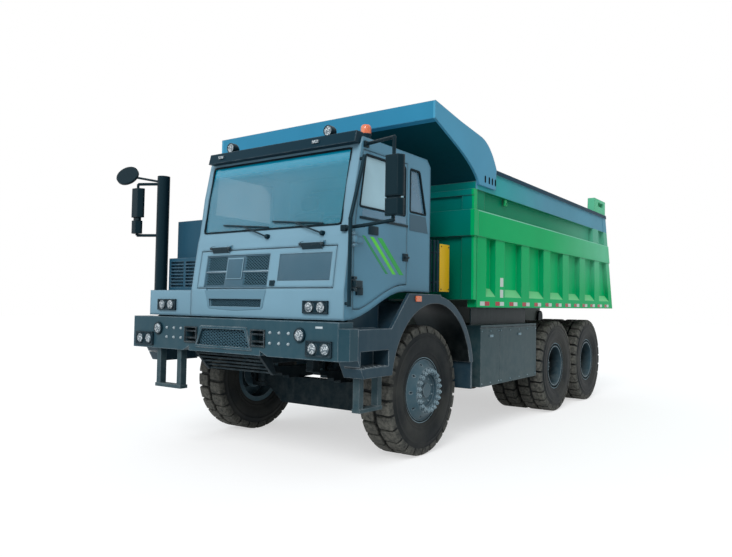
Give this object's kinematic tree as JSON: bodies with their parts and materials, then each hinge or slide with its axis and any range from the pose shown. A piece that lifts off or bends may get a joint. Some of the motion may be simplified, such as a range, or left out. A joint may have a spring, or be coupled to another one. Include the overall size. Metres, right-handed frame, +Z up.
{
  "type": "mining dump truck",
  "caption": "Wide-body mining dump truck with an offset cab, steered front wheels, tipping body with rock canopy, tailgate, telescopic hoist, door and front hatch.",
  "frame": {"origin": "on the ground under the middle of the truck's length and width", "axes": "+X forward, +Y to the vehicle's left, +Z up"},
  "size_m": [8.6492, 4.0821, 4.034],
  "materials": {
    "slate_paint": "satin slate-blue enamel, dusty",
    "dark_slate_paint": "satin dark slate enamel, scuffed",
    "black_chassis_paint": "semi-matt black chassis paint",
    "ladder_paint": "worn grey paint on steel",
    "green_body_paint": "gloss green enamel with a slate upper band",
    "rim_paint": "satin blue-grey paint, dusty",
    "tyre_rubber": "dusty block-tread rubber",
    "tinted_glass": "teal-tinted laminated glass",
    "lamp_lens": "clear moulded lens",
    "cab_trim": "dark grained trim and seat cloth",
    "hose_rubber": "ribbed black rubber",
    "hoist_barrel_paint": "dark slate paint",
    "ground_chrome": "ground and chromed steel"
  },
  "bodies": {
    "chassis": {"frame": "black_chassis_paint", "bumper": "dark_slate_paint", "front_grilles": "black_chassis_paint", "skid_plate": "black_chassis_paint", "fenders": "dark_slate_paint", "cab_shell": "slate_paint", "windscreen": "tinted_glass", "cab_windows": "tinted_glass", "dashboard": "cab_trim", "seats": "cab_trim", "right_hood": "slate_paint", "lamps": "lamp_lens", "radiator_box": "black_chassis_paint", "control_cabinet": "black_chassis_paint", "mirrors": "black_chassis_paint", "roof_visor": "black_chassis_paint", "grab_rails": "black_chassis_paint", "ladders": "ladder_paint", "side_boxes": "dark_slate_paint", "front_axle": "black_chassis_paint", "drive_axles": "black_chassis_paint", "springs": "black_chassis_paint", "driveline": "black_chassis_paint", "air_hose": "hose_rubber"},
    "door": {"door": "slate_paint", "door_glass": "tinted_glass"},
    "hatch": {"hatch": "slate_paint"},
    "left_knuckle": {"left_knuckle": "black_chassis_paint"},
    "right_knuckle": {"right_knuckle": "black_chassis_paint"},
    "front_left_wheel": {"front_left_tyre": "tyre_rubber", "front_left_rim": "rim_paint"},
    "front_right_wheel": {"front_right_tyre": "tyre_rubber", "front_right_rim": "rim_paint"},
    "mid_left_wheel": {"mid_left_tyre": "tyre_rubber", "mid_left_rim": "rim_paint"},
    "mid_right_wheel": {"mid_right_tyre": "tyre_rubber", "mid_right_rim": "rim_paint"},
    "rear_left_wheel": {"rear_left_tyre": "tyre_rubber", "rear_left_rim": "rim_paint"},
    "rear_right_wheel": {"rear_right_tyre": "tyre_rubber", "rear_right_rim": "rim_paint"},
    "bed": {"bed_floor": "green_body_paint", "bed_left": "green_body_paint", "bed_right": "green_body_paint", "bed_front": "green_body_paint"},
    "tailgate": {"tailgate": "green_body_paint"},
    "hoist_barrel": {"hoist_barrel": "hoist_barrel_paint"},
    "hoist_stage_1": {"hoist_stage_1": "ground_chrome"},
    "hoist_stage_2": {"hoist_stage_2": "ground_chrome"},
    "hoist_stage_3": {"hoist_stage_3": "ground_chrome"}
  },
  "joints": [
    {"name": "left_steer", "type": "hinge", "parent": "chassis", "child": "left_knuckle", "pos_m": [2.625, 1.06, 0.745], "axis": [0, 0, 1], "range_deg": [-35, 35]},
    {"name": "right_steer", "type": "hinge", "parent": "chassis", "child": "right_knuckle", "pos_m": [2.625, -1.06, 0.745], "axis": [0, 0, 1], "range_deg": [-35, 35]},
    {"name": "front_left_spin", "type": "hinge", "parent": "left_knuckle", "child": "front_left_wheel", "pos_m": [2.625, 1.325, 0.745], "axis": [0, 1, 0], "continuous": true},
    {"name": "front_right_spin", "type": "hinge", "parent": "right_knuckle", "child": "front_right_wheel", "pos_m": [2.625, -1.325, 0.745], "axis": [0, 1, 0], "continuous": true},
    {"name": "mid_left_spin", "type": "hinge", "parent": "chassis", "child": "mid_left_wheel", "pos_m": [-1.455, 1.415, 0.745], "axis": [0, 1, 0], "continuous": true},
    {"name": "mid_right_spin", "type": "hinge", "parent": "chassis", "child": "mid_right_wheel", "pos_m": [-1.455, -1.415, 0.745], "axis": [0, 1, 0], "continuous": true},
    {"name": "rear_left_spin", "type": "hinge", "parent": "chassis", "child": "rear_left_wheel", "pos_m": [-3.105, 1.415, 0.745], "axis": [0, 1, 0], "continuous": true},
    {"name": "rear_right_spin", "type": "hinge", "parent": "chassis", "child": "rear_right_wheel", "pos_m": [-3.105, -1.415, 0.745], "axis": [0, 1, 0], "continuous": true},
    {"name": "door_swing", "type": "hinge", "parent": "chassis", "child": "door", "pos_m": [4.03, 1.557, 2.1], "axis": [0, 0, -1], "range_deg": [0, 68]},
    {"name": "hatch_lift", "type": "hinge", "parent": "chassis", "child": "hatch", "pos_m": [4.10175, 0, 2.336], "axis": [0, -1, 0], "range_deg": [0, 75]},
    {"name": "bed_tilt", "type": "hinge", "parent": "chassis", "child": "bed", "pos_m": [-3.52, 0, 1.53], "axis": [0, -1, 0], "range_deg": [0, 47]},
    {"name": "tailgate_swing", "type": "hinge", "parent": "bed", "child": "tailgate", "pos_m": [-3.68, 0, 3.719], "axis": [0, 1, 0], "range_deg": [0, 60]},
    {"name": "hoist_lean", "type": "hinge", "parent": "chassis", "child": "hoist_barrel", "pos_m": [2.31, 0, 0.85], "axis": [0, -1, 0], "range_deg": [0, 25.76]},
    {"name": "hoist_slide_1", "type": "slide", "parent": "hoist_barrel", "child": "hoist_stage_1", "axis": [0, 0, 1], "range_m": [0, 1.5097]},
    {"name": "hoist_slide_2", "type": "slide", "parent": "hoist_stage_1", "child": "hoist_stage_2", "axis": [0, 0, 1], "range_m": [0, 1.5097]},
    {"name": "hoist_slide_3", "type": "slide", "parent": "hoist_stage_2", "child": "hoist_stage_3", "axis": [0, 0, 1], "range_m": [0, 1.5097]}
  ],
  "couplings": [
    {"joint": "right_steer", "follows": "left_steer", "ratio": 1},
    {"joint": "hoist_lean", "follows": "bed_tilt", "ratio": 0.53752},
    {"joint": "hoist_slide_1", "follows": "bed_tilt", "m_per_rad": 1.8282},
    {"joint": "hoist_slide_2", "follows": "bed_tilt", "m_per_rad": 1.8282},
    {"joint": "hoist_slide_3", "follows": "bed_tilt", "m_per_rad": 1.8282}
  ]
}
